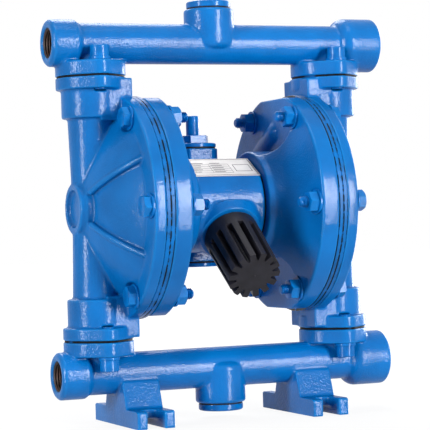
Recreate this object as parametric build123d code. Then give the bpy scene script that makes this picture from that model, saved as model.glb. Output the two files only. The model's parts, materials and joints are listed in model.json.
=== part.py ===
from build123d import *
import math
import os

# Air operated double diaphragm pump with cast iron housings, in millimetres.
# X runs along the two manifolds, -Y is the front with the muffler, +Z is up.
# The origin is on the floor below the middle of the centre body.

# Overall layout
floor_to_inlet = 36.0           # foot soles to bottom manifold axis
column_stand_off = 15.3         # outer face of the fluid chamber's rim to the column axis
rim_to_flange = 3.8             # edge of the rim to the underside of the column flange

# Stack of each side along X, from the middle outwards
body_half = 25.2
body_gasket_thickness = 0.8
hub_depth = 21.6                # hub face to the inner face of the air chamber's rim
air_rim_thickness = 12.9
diaphragm_thickness = 3.25      # each of the two rubber layers
fluid_rim_thickness = 8.2
dome_depth = 31.3               # rim face of the fluid chamber to its boss face

# Manifolds
pipe_radius = 14.25
pipe_bore_radius = 8.5
left_end_reach = 31.5           # column axis to the open end
right_end_reach = 38.0          # column axis to the plugged end
collar_edge = 2.0
left_collar_radius = 16.5
left_collar_length = 19.0
right_collar_radius = 19.5
right_collar_length = 25.0
port_thread_radius = 10.48      # wall of the G 1/2 thread, taken at its major diameter
port_thread_depth = 17.0
port_chamfer = 1.0
plug_thread_radius = 13.22      # wall of the G 3/4 thread, taken at its major diameter
plug_thread_depth = 14.0
centre_port_radius = 17.8
centre_port_height = 25.0       # pipe axis to the sealing face of the centre port
centre_port_sink = 4.0          # how far the port's rounded foot reaches past the pipe axis
centre_port_edge = 1.2
flange_drop = 23.0              # manifold axis to its column flange face
manifold_flange_thickness = 10.0
flange_radius = 24.5
flange_ear_radius = 8.5
flange_screw_offset = 20.7      # screws in front of and behind the column axis
flange_edge = 0.9               # rounding of the edge that faces away from the joint
column_bore_radius = 9.5
flange_gasket_thickness = 1.4
manifold_neck_radius = 13.0

# Feet of the bottom manifold
foot_offset = 66.0
foot_width = 27.0
foot_half_length = 44.0
foot_height = 12.0
foot_slot_width = 12.5
foot_slot_length = 17.0         # open end to the slot's round end
foot_channel_height = 6.0
foot_edge = 2.0
saddle_edge = 1.6
saddle_top_half = 15.0
saddle_bottom_half = 22.0
saddle_height = 31.0            # soles to the top of the saddle

# Fluid chambers
rim_radius = 78.5
rim_edge_to_bolt = 8.3          # rim edge to the bolt circle
bolt_count = 6
dome_margin = 12.5              # rim edge to the foot of the dome
dome_bulge = 3.0
boss_radius = 17.8
boss_recess_radius = 13.5
boss_recess_depth = 3.0
boss_shoulder = 3.7
boss_height = 5.5               # top of the dome to the boss face
boss_edge = 0.8
neck_low_radius = 15.2
neck_high_radius = 17.0
collar_radius = 21.0
collar_height = 19.8
chamber_flange_thickness = 8.3
web_half_width = 20.0
web_drop = 30.0                 # flange face to the foot of the web
web_step = 1.1                  # flange face to the top of the web
collar_foot_edge = 1.4
sector_recess = 4.0             # depth of the recessed front and back sectors
sector_half_angle = 30.0
rib_radius = 2.0
fin_width = 5.0
fin_height = 44.0
fluid_cavity_margin = 16.5      # rim edge to the cavity's wall
fluid_cavity_step = 4.0         # straight wall at the cavity's mouth
cavity_tip_radius = 20.0

# Air chambers
rim_flat_depth = 3.1            # chord flats cut into the top and bottom of the rim
hub_radius = 38.0
hub_neck_length = 5.0
dish_bulge = 4.0
air_cavity_margin = 17.5        # rim edge to the cavity's wall
air_floor_radius = 33.5
cavity_shelf = 8.0              # rim face to the shelf that backs the flat pads
shelf_radius = 38.5
pad_front = 34.0                # pump axis to the front edge of the flat pads
pad_foot = 35.0                 # pump axis to the inner edge of the flat pads, at its front
pad_fall = 11.0                 # how much nearer that edge comes to the axis at the rear
pad_corner = 18.0
duct_radius = 9.5
duct_height = 4.0               # ridge over the duct, above the pad
duct_foot = (30.0, 34.0)        # lower end of the ridge, behind and above the pump axis
duct_head = (0.0, 51.0)         # upper end of the ridge
spot_face_radius = 9.6

# Centre body
body_radius = 33.2
shaft_tunnel_radius = 10.0
label_tilt = 30.0               # degrees from straight up, towards the front
label_facet_depth = 2.9         # outside of the centre body to the facet that carries the label
label_margin = 0.2              # end of the centre body to the end of the label
label_width = 25.4
label_thickness = 0.6
muffler_tilt = 36.7             # degrees below horizontal, towards the front
muffler_boss_margin = 3.2       # end of the centre body to the side of the boss
muffler_boss_stand = 0.8        # outside of the centre body to the boss face
muffler_boss_flare = 3.0
muffler_boss_flare_length = 6.0
exhaust_radius = 10.48
exhaust_depth = 14.0
barrel_offset = 37.0            # body axis to the valve barrel, to the rear
barrel_half_width = 15.5
barrel_corner = 6.5
barrel_top = 42.0
barrel_bottom = -40.0
valve_bore_radius = 9.0
air_port_reach = 58.0           # body axis to the face of the air inlet
air_port_boss_radius = 11.5
air_port_radius = 6.58          # wall of the G 1/4 thread, taken at its major diameter
air_port_depth = 12.0

# Moving parts
stroke = 8.0                    # each way, for the shaft
end_clearance = 2.0             # left at each end of the stroke
shaft_radius = 8.0
shaft_shoulder_gap = 5.0        # thickness of the inner plates
shaft_thread_radius = 5.0
shaft_seal_radius = 11.9
shaft_seal_length = 4.0
plate_radius = 32.0
plate_thickness = 6.0
shaft_nut_height = 8.0
shaft_nut_flats = 16.0
shaft_groove_offset = 9.0       # middle of the body to each oil groove
shaft_groove_width = 3.0
shaft_groove_depth = 1.2
shaft_bush_length = 12.0
fold_depth = 6.0                # convolution of the diaphragms
fold_margin = 2.0               # convolution to the plates and to the cavity's wall
running_gap = 0.05
washer_gap = 0.2                # round a fastener in its washer, its gasket or the rubber
spool_travel = 8.0
ball_radius = 9.0
ball_lift = 6.6
stop_gap = 0.15                 # ball to spider at full lift

# Check valves
cage_bore_radius = 13.5
seat_height = 5.0
seat_bore_radius = 7.2
seat_chamfer = 1.2
cage_inner_radius = 11.7
cage_rib_reach = 9.4            # ribs keep the ball this far from the axis at least
cage_spider = 2.6
cage_rib_width = 3.0

# Fasteners
chamber_bolt_radius = 3.95
chamber_bolt_hole = 4.5
chamber_bolt_length = 43.4
bolt_head_height = 5.3
bolt_head_flats = 13.0
nut_height = 6.6
bolt_washer_radius = 8.5
bolt_washer_thickness = 1.6
flange_screw_radius = 4.0
flange_screw_length = 22.5
flange_screw_head_radius = 6.5
flange_screw_head_height = 8.0
flange_washer_radius = 7.4
flange_washer_thickness = 2.0
washer_split = 0.6
screw_socket_flats = 6.0
screw_socket_depth = 4.0
relief_radius = 4.8
hub_screw_radius = 2.95
hub_screw_margin = 7.2          # outside of the centre body to the screws' axes
hub_screw_length = 26.0
hub_screw_head_radius = 5.0
hub_screw_head_height = 6.0
hub_screw_gap = 0.35
hub_socket_flats = 5.0
hub_socket_depth = 3.0
plug_flange_radius = 15.8
plug_flange_thickness = 4.5
plug_washer_thickness = 1.0
plug_socket_flats = 12.0
plug_edge = 0.8
plug_socket_depth = 7.0

# Valve trim and muffler
sleeve_wall = 2.5
valve_cap_radius = 16.8
valve_cap_thickness = 4.0
valve_spigot = 3.0
valve_hex_flats = 21.0
valve_hex_height = 5.7
stem_radius = 4.75
stem_top = 66.3
stem_spigot_radius = 2.45
stem_spigot_length = 7.0
sleeve_port_radius = 2.0
sleeve_port_spacing = 18.0
spool_waist_length = 9.0
spool_waist_depth = 2.5
spool_waist_places = (-14.0, 6.0)
cap_edge = 0.6
cap_groove_depth = 1.4
cap_socket_flats = 8.0
cap_socket_depth = 3.0
seal_groove = 1.2
muffler_radius = 19.5
muffler_end_radius = 18.7
muffler_length = 48.8
muffler_base = 10.0
muffler_slots = 16
muffler_slot_depth = 5.6
muffler_slot_mouth = 3.7        # width of each slot at the outside
muffler_slot_floor = 1.7        # width of each slot at its bottom
muffler_bore = 12.0
muffler_end_wall = 4.0
muffler_vent_width = 1.0
muffler_edge = 0.8

# Places that follow from the sizes above
hub_face = body_half + body_gasket_thickness
air_rim_inner = hub_face + hub_depth
air_rim_outer = air_rim_inner + air_rim_thickness
layer_joint = air_rim_outer + diaphragm_thickness
fluid_face = layer_joint + diaphragm_thickness
fluid_rim_outer = fluid_face + fluid_rim_thickness
boss_face = fluid_rim_outer + dome_depth
bolt_circle = rim_radius - rim_edge_to_bolt
fluid_cavity_radius = rim_radius - fluid_cavity_margin
air_cavity_radius = rim_radius - air_cavity_margin
column_offset = fluid_rim_outer + column_stand_off
left_end = column_offset + left_end_reach
right_end = column_offset + right_end_reach
collar_top = rim_radius + rim_to_flange
collar_foot = collar_top - collar_height
chamber_flange_face = collar_top + chamber_flange_thickness
manifold_flange_face = chamber_flange_face + flange_gasket_thickness
axis_height = manifold_flange_face + flange_drop
mid_height = floor_to_inlet + axis_height
label_length = 2 * (body_half - label_margin)
hub_screw_circle = body_radius - hub_screw_margin
label_height = body_radius - label_facet_depth
muffler_boss_radius = body_half - muffler_boss_margin
muffler_boss_reach = body_radius + muffler_boss_stand
floor_level = -mid_height
shaft_shoulder = air_rim_outer - shaft_shoulder_gap
shaft_end = fluid_face + plate_thickness + shaft_nut_height + 2
fluid_cavity_tip = shaft_end + stroke + end_clearance
air_cavity_floor = shaft_shoulder - stroke - end_clearance
hub_screw_seat = air_cavity_floor - hub_screw_head_height - 0.5
ball_rest = math.sqrt(ball_radius ** 2 - seat_bore_radius ** 2) - seat_chamfer + running_gap
cage_height = ball_rest + ball_radius + ball_lift + stop_gap + cage_spider
screw_angles = (45, 135, 225, 315)
clear = 50.0                    # cutters run this far past what they cut
bolt_angles = [360.0 / bolt_count * step for step in range(bolt_count)]


def x_cylinder(radius, x_start, x_end, y=0.0, z=0.0):
    """A cylinder along X."""
    middle = (x_start + x_end) / 2
    return Pos(middle, y, z) * Rot(0, 90, 0) * Cylinder(radius, abs(x_end - x_start))


def z_cylinder(radius, z_start, z_end, x=0.0, y=0.0):
    """A cylinder along Z."""
    return Pos(x, y, (z_start + z_end) / 2) * Cylinder(radius, abs(z_end - z_start))


def x_hexagon(flats, x_start, x_end):
    """A hexagonal prism along X, with one corner to the front."""
    shape = RegularPolygon(flats / 2, 6, major_radius=False)
    return extrude(Plane.YZ.offset(x_start) * shape, x_end - x_start)


def z_hexagon(flats, z_start, z_end):
    """A hexagonal prism along Z."""
    shape = RegularPolygon(flats / 2, 6, major_radius=False)
    return extrude(Plane.XY.offset(z_start) * shape, z_end - z_start)


def turned_x(*edges):
    """Revolve an outline of (x, radius) edges about X."""
    return revolve(make_face(Curve() + list(edges)), Axis.X)


def turned_polygon_x(*points):
    """Revolve a polygon of (x, radius) points about X."""
    return revolve(make_face(Polyline(*points, close=True)), Axis.X)


def turned_polygon_z(*points):
    """Revolve a polygon of (radius, z) points about Z."""
    outline = Plane.XZ * make_face(Polyline(*points, close=True))
    return revolve(outline, Axis.Z)


def bulged(start, end, bulge):
    """An arc that stands off its chord by bulge, to the left of its direction."""
    run = (end[0] - start[0], end[1] - start[1])
    length = math.hypot(*run)
    middle = (
        (start[0] + end[0]) / 2 - run[1] / length * bulge,
        (start[1] + end[1]) / 2 + run[0] / length * bulge,
    )
    return ThreePointArc(start, middle, end)


def on_bolt_circle(angle):
    """Y and Z of the chamber bolt at this angle from the front."""
    turn = math.radians(angle)
    return -bolt_circle * math.cos(turn), bolt_circle * math.sin(turn)


hub_screw_places = [
    (hub_screw_circle * math.cos(math.radians(angle)), hub_screw_circle * math.sin(math.radians(angle)))
    for angle in screw_angles
]


def at_both_columns(shape):
    """A shape on the column axis, at the right and left columns."""
    return [Pos(side * column_offset, 0, 0) * shape for side in (1, -1)]


def to_left(shape):
    """The mirror twin of a right-hand piece."""
    return mirror(shape, about=Plane.YZ)


def upside_down(shape):
    """The mirror twin of a top piece, for the bottom."""
    return mirror(shape, about=Plane.XY)


def flange_outline(inset=0.0):
    """Column flange: a disc with an ear in front and an ear behind."""
    disc = Circle(flange_radius - inset)
    ears = [Pos(0, end * flange_screw_offset) * Circle(flange_ear_radius - inset) for end in (1, -1)]
    return make_hull(disc.edges() + ears[0].edges() + ears[1].edges())


def rounded_flange(bottom, thickness, rounded_end):
    """A column flange from this height up, with its edge rounded at the top (-1) or the bottom (0)."""
    flange = extrude(Plane.XY.offset(bottom) * flange_outline(), thickness)
    return fillet(flange.edges().group_by(Axis.Z)[rounded_end], flange_edge)


def screw_places():
    """Where the two flange screws of a column stand."""
    return [Pos(0, end * flange_screw_offset, 0) for end in (1, -1)]


# Manifolds, built as the top one
def manifold_pipe():
    """The pipe with its left collar, its larger right collar and the shoulders."""
    left_face = -left_end
    left_shoulder = left_face + left_collar_length
    right_shoulder = right_end - right_collar_length
    step = right_collar_radius - pipe_radius
    outline = Polyline(
        (left_face, 0),
        (left_face, left_collar_radius - collar_edge),
        (left_face + collar_edge, left_collar_radius),
        (left_shoulder, left_collar_radius),
        (left_shoulder + 3, pipe_radius),
        (right_shoulder - step, pipe_radius),
    )
    shoulder = bulged((right_shoulder - step, pipe_radius), (right_shoulder + 2, right_collar_radius), 1.2)
    end = Polyline(
        (right_shoulder + 2, right_collar_radius),
        (right_end - collar_edge / 2, right_collar_radius),
        (right_end, right_collar_radius - collar_edge / 2),
        (right_end, 0),
        (left_face, 0),
    )
    return turned_x(outline, shoulder, end)


def manifold_casting():
    """Pipe, centre port and column flanges, bored out. The pipe axis is the X axis here."""
    port = z_cylinder(centre_port_radius, -centre_port_sink, centre_port_height)
    port = fillet(port.edges().group_by(Axis.Z)[0], centre_port_sink + 1)
    port = chamfer(port.edges().group_by(Axis.Z)[-1], centre_port_edge)
    flange = rounded_flange(-flange_drop, manifold_flange_thickness, -1)
    neck = z_cylinder(manifold_neck_radius, -flange_drop + manifold_flange_thickness - 1, 0)
    casting = manifold_pipe() + port
    for column in at_both_columns(flange + neck):
        casting += column
    casting -= x_cylinder(pipe_bore_radius, -left_end, right_end)
    casting -= x_cylinder(port_thread_radius, -left_end - 1, -left_end + port_thread_depth)
    mouth = Cone(port_thread_radius, port_thread_radius + 2 * port_chamfer, 2 * port_chamfer)
    casting -= Pos(-left_end, 0, 0) * Rot(0, -90, 0) * mouth
    casting -= x_cylinder(plug_thread_radius, right_end - plug_thread_depth, right_end + 1)
    casting -= z_cylinder(pipe_bore_radius, 0, centre_port_height)
    casting -= z_cylinder(plug_thread_radius, centre_port_height - plug_thread_depth, centre_port_height + 1)
    hole = z_cylinder(chamber_bolt_hole, -flange_drop - 1, -flange_drop + manifold_flange_thickness + 1)
    for bore in at_both_columns(z_cylinder(column_bore_radius, -flange_drop - 1, 0)):
        casting -= bore
    for place in screw_places():
        for bore in at_both_columns(place * hole):
            casting -= bore
    return casting


def foot():
    """One foot of the bottom manifold, with its soles at the floor and its middle at x = 0."""
    sole = floor_level
    base = Pos(0, 0, sole + foot_height / 2) * Box(foot_width, 2 * foot_half_length, foot_height)
    base = fillet(base.edges().filter_by(Axis.X).group_by(Axis.Z)[-1], foot_edge)
    saddle_outline = Polyline(
        (-saddle_bottom_half, sole + foot_height - 1),
        (saddle_bottom_half, sole + foot_height - 1),
        (saddle_top_half, sole + saddle_height),
        (-saddle_top_half, sole + saddle_height),
        close=True,
    )
    saddle = extrude(Plane.YZ.offset(-foot_width / 2) * make_face(saddle_outline), foot_width)
    saddle = fillet(saddle.edges().group_by(Axis.Z)[-1], saddle_edge)
    body = base + saddle
    for end in (1, -1):
        round_end = foot_half_length - foot_slot_length + foot_slot_width / 2
        slot = Pos(0, end * round_end, 0) * z_cylinder(foot_slot_width / 2, sole - 1, sole + foot_height + 1)
        slot += Pos(0, end * (round_end + clear / 2), sole + foot_height / 2) * Box(
            foot_slot_width, clear, foot_height + 2
        )
        body -= slot
    channel = Pos(0, 0, sole + foot_channel_height / 2 - 0.5) * Box(
        foot_slot_width, 3 * foot_half_length, foot_channel_height + 1
    )
    return body - channel


def top_manifold():
    return Pos(0, 0, axis_height) * manifold_casting()


def bottom_manifold():
    casting = Pos(0, 0, -axis_height) * upside_down(manifold_casting())
    bore = x_cylinder(pipe_radius - 1, -foot_offset - foot_width, foot_offset + foot_width, 0, -axis_height)
    for side in (1, -1):
        casting += Pos(side * foot_offset, 0, 0) * foot() - bore
    return casting


# Plugs of the centre ports and of the right-hand ends
def centre_plug():
    """Flanged plug with a hexagon socket, for the top centre port."""
    face = axis_height + centre_port_height + plug_washer_thickness
    top = face + plug_flange_thickness
    flange = z_cylinder(plug_flange_radius, face, top)
    flange = chamfer(flange.edges().group_by(Axis.Z)[-1], plug_edge)
    shank = z_cylinder(plug_thread_radius - running_gap, face + plug_washer_thickness - plug_thread_depth, face)
    return flange + shank - z_hexagon(plug_socket_flats, top - plug_socket_depth, top + 1)


def centre_plug_washer():
    face = axis_height + centre_port_height
    ring = z_cylinder(plug_flange_radius - 0.3, face, face + plug_washer_thickness)
    return ring - z_cylinder(plug_thread_radius + 0.2, face - 1, face + plug_washer_thickness + 1)


def end_plug():
    """Headless plug with a hexagon socket, for the top manifold's right-hand end."""
    face = right_end - 1.0
    shank = x_cylinder(plug_thread_radius - running_gap, right_end - plug_thread_depth, face, 0, axis_height)
    socket = Pos(0, 0, axis_height) * x_hexagon(plug_socket_flats, face - plug_socket_depth, face + 1)
    return shank - socket


# Fluid chambers, built as the right-hand one
def dome_arc(shift=0.0):
    """The dome's outline from its foot to the boss, moved inwards by shift."""
    foot_point = (fluid_rim_outer - shift, rim_radius - dome_margin)
    top_point = (boss_face - boss_height - shift, boss_radius + boss_shoulder)
    return bulged(foot_point, top_point, dome_bulge)


def chamber_shell():
    """Rim, dome and boss as one turned form."""
    rim = Polyline(
        (fluid_face, 0),
        (fluid_face, rim_radius),
        (fluid_rim_outer - boss_edge, rim_radius),
        (fluid_rim_outer, rim_radius - boss_edge),
        (fluid_rim_outer, rim_radius - dome_margin),
    )
    boss = Polyline(
        (boss_face - boss_height, boss_radius + boss_shoulder),
        (boss_face - 0.7 * boss_height, boss_radius + boss_shoulder / 4),
        (boss_face - boss_edge, boss_radius),
        (boss_face, boss_radius - boss_edge),
        (boss_face, boss_recess_radius),
        (boss_face - boss_recess_depth, boss_recess_radius - 0.5),
        (boss_face - boss_recess_depth, 0),
        (fluid_face, 0),
    )
    return turned_x(rim, dome_arc(), boss)


def sector_cut():
    """The metal left out of the front and back sectors of the dome."""
    inner = boss_radius + 1.6
    outer = rim_radius + clear
    far = boss_face + clear
    floor = dome_arc(sector_recess)
    rest = Polyline(
        floor @ 1,
        (boss_face - boss_height - sector_recess, inner),
        (far, inner),
        (far, outer),
        (fluid_rim_outer - sector_recess, outer),
        floor @ 0,
    )
    layer = turned_x(floor, rest)
    reach = 2 * outer
    half = math.radians(sector_half_angle)
    cut = None
    for end in (1, -1):
        wedge_outline = Polyline(
            (0, 0),
            (end * reach * math.cos(half), reach * math.sin(half)),
            (end * reach * math.cos(half), -reach * math.sin(half)),
            close=True,
        )
        wedge = extrude(Plane.YZ.offset(fluid_rim_outer) * make_face(wedge_outline), far - fluid_rim_outer)
        piece = layer & wedge
        cut = piece if cut is None else cut + piece
    return cut


def dome_rib(angle):
    """A rounded rib down the dome, at this angle from the front."""
    path = dome_arc(1.0)
    section = Plane(origin=path @ 0, z_dir=path % 0) * Circle(rib_radius)
    rib = sweep(section, path=path)
    return Rot(180 - angle, 0, 0) * rib


def column_half():
    """The upper half of the vertical column: neck, collar, flange, web and fin."""
    neck = Pos(column_offset, 0, collar_foot / 2) * Cone(neck_low_radius, neck_high_radius, collar_foot)
    collar = z_cylinder(collar_radius, collar_foot, collar_top + 1, column_offset)
    collar = fillet(collar.edges().group_by(Axis.Z)[0], collar_foot_edge)
    flange = rounded_flange(collar_top, chamber_flange_thickness, 0)
    web_top = chamber_flange_face - web_step
    web_foot = chamber_flange_face - web_drop
    web_length = column_offset - fluid_face
    web = Pos(fluid_face + web_length / 2, 0, (web_top + web_foot) / 2) * Box(
        web_length, 2 * web_half_width, web_top - web_foot
    )
    fin_outline = Polyline(
        (column_offset, boss_radius / 2),
        (boss_face - 0.1, boss_radius / 2),
        (column_offset + neck_high_radius - 0.9, fin_height),
        (column_offset, fin_height),
        close=True,
    )
    fin = extrude(Plane.XZ.offset(-fin_width / 2) * make_face(fin_outline), fin_width)
    return neck + collar + Pos(column_offset, 0, 0) * flange + web + fin


def column_cuts():
    """What is bored into the upper half of the column."""
    cuts = z_cylinder(column_bore_radius, -1, chamber_flange_face, column_offset)
    cuts += z_cylinder(cage_bore_radius, chamber_flange_face - cage_height - seat_height,
                       chamber_flange_face + 1, column_offset)
    screw_end = chamber_flange_face + flange_gasket_thickness + manifold_flange_thickness
    screw_end += flange_washer_thickness - flange_screw_length
    for place in screw_places():
        cuts += place * z_cylinder(flange_screw_radius + running_gap, collar_top - 1,
                                   chamber_flange_face + 1, column_offset)
        cuts += place * z_cylinder(relief_radius, screw_end - 1, collar_top, column_offset)
    return cuts


def fluid_cavity():
    """The pumping space behind the diaphragm."""
    tip = fluid_cavity_tip
    step = fluid_face + fluid_cavity_step
    wall = bulged((step, fluid_cavity_radius), (tip, cavity_tip_radius), 2.0)
    rest = Polyline(
        (tip, cavity_tip_radius),
        (tip, 0),
        (fluid_face - 1, 0),
        (fluid_face - 1, fluid_cavity_radius),
        (step, fluid_cavity_radius),
    )
    return turned_x(wall, rest)


def fluid_chamber():
    casting = chamber_shell() - sector_cut()
    for angle in (sector_half_angle, -sector_half_angle, 180 - sector_half_angle, 180 + sector_half_angle):
        casting += dome_rib(angle)
    half = column_half()
    casting += half
    casting += upside_down(half)
    casting -= x_cylinder(boss_recess_radius - 0.5, boss_face - boss_recess_depth, boss_face + 1)
    casting -= fluid_cavity()
    cuts = column_cuts()
    casting -= cuts
    casting -= upside_down(cuts)
    for angle in bolt_angles:
        y, z = on_bolt_circle(angle)
        casting -= x_cylinder(chamber_bolt_hole, fluid_face - 1, fluid_rim_outer + 1, y, z)
        casting -= x_cylinder(spot_face_radius, fluid_rim_outer, fluid_rim_outer + 9, y, z)
    return casting


# Air chambers, built as the right-hand one
def pad_outline():
    """The flat pad round the upper nuts, drawn in Y and Z."""
    far = rim_radius + clear
    front_end = (-pad_front, pad_foot + pad_corner)
    foot_start = (pad_corner - pad_front, pad_foot)
    corner = bulged(front_end, foot_start, -pad_corner / 3.6)
    edges = Polyline(
        foot_start,
        (hub_radius + 7, pad_foot - pad_fall),
        (far, pad_foot - pad_fall),
        (far, far),
        (-pad_front, far),
        front_end,
    )
    return make_face(Curve() + [corner, edges])


def air_chamber():
    hub_end = hub_face + hub_neck_length
    rim = Polyline(
        (air_rim_outer, 0),
        (air_rim_outer, rim_radius - 0.5),
        (air_rim_outer - 0.5, rim_radius),
        (air_rim_inner + 1, rim_radius),
        (air_rim_inner, rim_radius - 1),
    )
    dish = bulged((air_rim_inner, rim_radius - 1), (hub_end, hub_radius + 0.8), dish_bulge)
    hub = Polyline(
        (hub_end, hub_radius + 0.8),
        (hub_face + 1, hub_radius),
        (hub_face, hub_radius - 1),
        (hub_face, 0),
        (air_rim_outer, 0),
    )
    casting = turned_x(rim, dish, hub)
    pad = extrude(Plane.YZ.offset(hub_face - 1) * pad_outline(), air_rim_inner - hub_face + 1)
    pad -= x_cylinder(hub_radius, hub_face - 2, air_rim_inner + 1)
    flat = Pos(0, 0, rim_radius - rim_flat_depth + clear / 2) * Box(4 * clear, 4 * clear, clear)
    for cut in (pad, flat):
        casting -= cut
        casting -= upside_down(cut)
    casting += duct_ridge()
    floor = air_cavity_floor
    shelf = air_rim_outer - cavity_shelf
    casting -= turned_polygon_x(
        (air_rim_outer + 1, 0),
        (air_rim_outer + 1, air_cavity_radius),
        (air_rim_outer, air_cavity_radius),
        (shelf + 1, air_cavity_radius - 5),
        (shelf, shelf_radius),
        (floor, air_floor_radius),
        (floor, 0),
    )
    casting -= x_cylinder(shaft_radius + 0.6, hub_face - 1, air_rim_outer)
    casting -= x_cylinder(shaft_seal_radius, floor - shaft_seal_length - 0.5, floor + 1)
    for y, z in hub_screw_places:
        casting -= x_cylinder(hub_screw_radius + hub_screw_gap, hub_face - 1, floor + 1, y, z)
        casting -= x_cylinder(hub_screw_head_radius + hub_screw_gap, hub_screw_seat, floor + 1, y, z)
    for angle in bolt_angles:
        y, z = on_bolt_circle(angle)
        casting -= x_cylinder(chamber_bolt_hole, air_rim_inner - 1, air_rim_outer + 1, y, z)
        casting -= x_cylinder(spot_face_radius, air_rim_inner - 9, air_rim_inner, y, z)
    return casting


def duct_ridge():
    """The ridge over the air duct, a low round bar with round ends, on the upper pad."""
    (y0, z0), (y1, z1) = duct_foot, duct_head
    depth = air_rim_inner + duct_radius - duct_height
    lean = math.degrees(math.atan2(z1 - z0, y1 - y0))
    bar = Rot(lean, 0, 0) * Rot(90, 0, 0) * Cylinder(duct_radius, math.hypot(y1 - y0, z1 - z0))
    ridge = Pos(depth, (y0 + y1) / 2, (z0 + z1) / 2) * bar
    for y, z in (duct_foot, duct_head):
        ridge += Pos(depth, y, z) * Sphere(duct_radius)
    keep = Pos(air_rim_inner + 2 - clear / 2, 0, 0) * Box(clear, 4 * clear, 4 * clear)
    return ridge & keep


# Diaphragms and plates, built as the right-hand ones
def diaphragm_layer(inner_face):
    """One rubber layer with its convolution between the plates and the rim."""
    thickness = diaphragm_thickness
    outer_face = inner_face + thickness
    fold_in = plate_radius + fold_margin
    fold_out = fluid_cavity_radius - fold_margin
    radius = rim_radius - 0.3
    fold_top = ThreePointArc(
        (outer_face, fold_out), (outer_face + fold_depth, (fold_in + fold_out) / 2), (outer_face, fold_in)
    )
    fold_bottom = ThreePointArc(
        (inner_face, fold_in), (inner_face + fold_depth, (fold_in + fold_out) / 2), (inner_face, fold_out)
    )
    hole = shaft_thread_radius + 0.1
    layer = turned_x(
        Polyline((inner_face, fold_out), (inner_face, radius), (outer_face, radius), (outer_face, fold_out)),
        fold_top,
        Polyline((outer_face, fold_in), (outer_face, hole), (inner_face, hole), (inner_face, fold_in)),
        fold_bottom,
    )
    for angle in bolt_angles:
        y, z = on_bolt_circle(angle)
        layer -= x_cylinder(chamber_bolt_radius + washer_gap, inner_face - 1, outer_face + 1, y, z)
    return layer


def plate(x_start, x_end, rounded_end):
    """A clamping plate on the shaft, with its rubber-side rim rounded off."""
    disc = x_cylinder(plate_radius, x_start, x_end)
    edge = disc.edges().filter_by(GeomType.CIRCLE).sort_by(Axis.X)[rounded_end]
    disc = fillet(edge, 2.0)
    return disc - x_cylinder(shaft_thread_radius + 0.05, x_start - 1, x_end + 1)


def shaft_nut():
    start = fluid_face + plate_thickness
    nut = x_hexagon(shaft_nut_flats, start, start + shaft_nut_height)
    return nut - x_cylinder(shaft_thread_radius + 0.05, start - 1, start + shaft_nut_height + 1)


def main_shaft():
    shaft = x_cylinder(shaft_radius, -shaft_shoulder, shaft_shoulder)
    shaft += x_cylinder(shaft_thread_radius, -shaft_end, shaft_end)
    half = shaft_groove_width / 2
    for groove in (-shaft_groove_offset, shaft_groove_offset):
        ring = x_cylinder(shaft_radius + 1, groove - half, groove + half)
        shaft -= ring - x_cylinder(shaft_radius - shaft_groove_depth, groove - 2 * half, groove + 2 * half)
    return shaft


def shaft_bush():
    """Plain bush in the right end of the shaft tunnel."""
    start = body_half - shaft_bush_length
    bush = x_cylinder(shaft_tunnel_radius - running_gap, start, body_half)
    return bush - x_cylinder(shaft_radius + running_gap, start - 1, body_half + 1)


def shaft_seal():
    """Lip seal in the right air chamber's floor."""
    end = air_cavity_floor - 0.5
    start = end - shaft_seal_length
    ring = x_cylinder(shaft_seal_radius - running_gap, start, end)
    return ring - x_cylinder(shaft_radius + running_gap, start - 1, end + 1)


# Check valves, on the column axis at x = 0, with the seat's underside at z = 0
def valve_seat():
    return turned_polygon_z(
        (seat_bore_radius, 0),
        (cage_bore_radius - 0.1, 0),
        (cage_bore_radius - 0.1, seat_height),
        (seat_bore_radius + seat_chamfer, seat_height),
        (seat_bore_radius, seat_height - seat_chamfer),
    )


def valve_cage():
    ring = z_cylinder(cage_bore_radius - 0.1, 0, cage_height) - z_cylinder(cage_inner_radius, -1, cage_height + 1)
    for angle in (0, 90, 180, 270):
        length = cage_inner_radius + 0.5 - cage_rib_reach
        rib = Pos(cage_rib_reach + length / 2, 0, cage_height / 2) * Box(length, cage_rib_width, cage_height)
        arm_length = cage_inner_radius + 0.5
        arm = Pos(arm_length / 2, 0, cage_height - cage_spider / 2) * Box(arm_length, cage_rib_width, cage_spider)
        ring += Rot(0, 0, angle) * (rib + arm)
    return ring


# Centre body
def leaned(angle, shape):
    """Turn a shape that stands on the body axis along Z forwards by angle from straight up."""
    return Rot(angle, 0, 0) * shape


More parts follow.
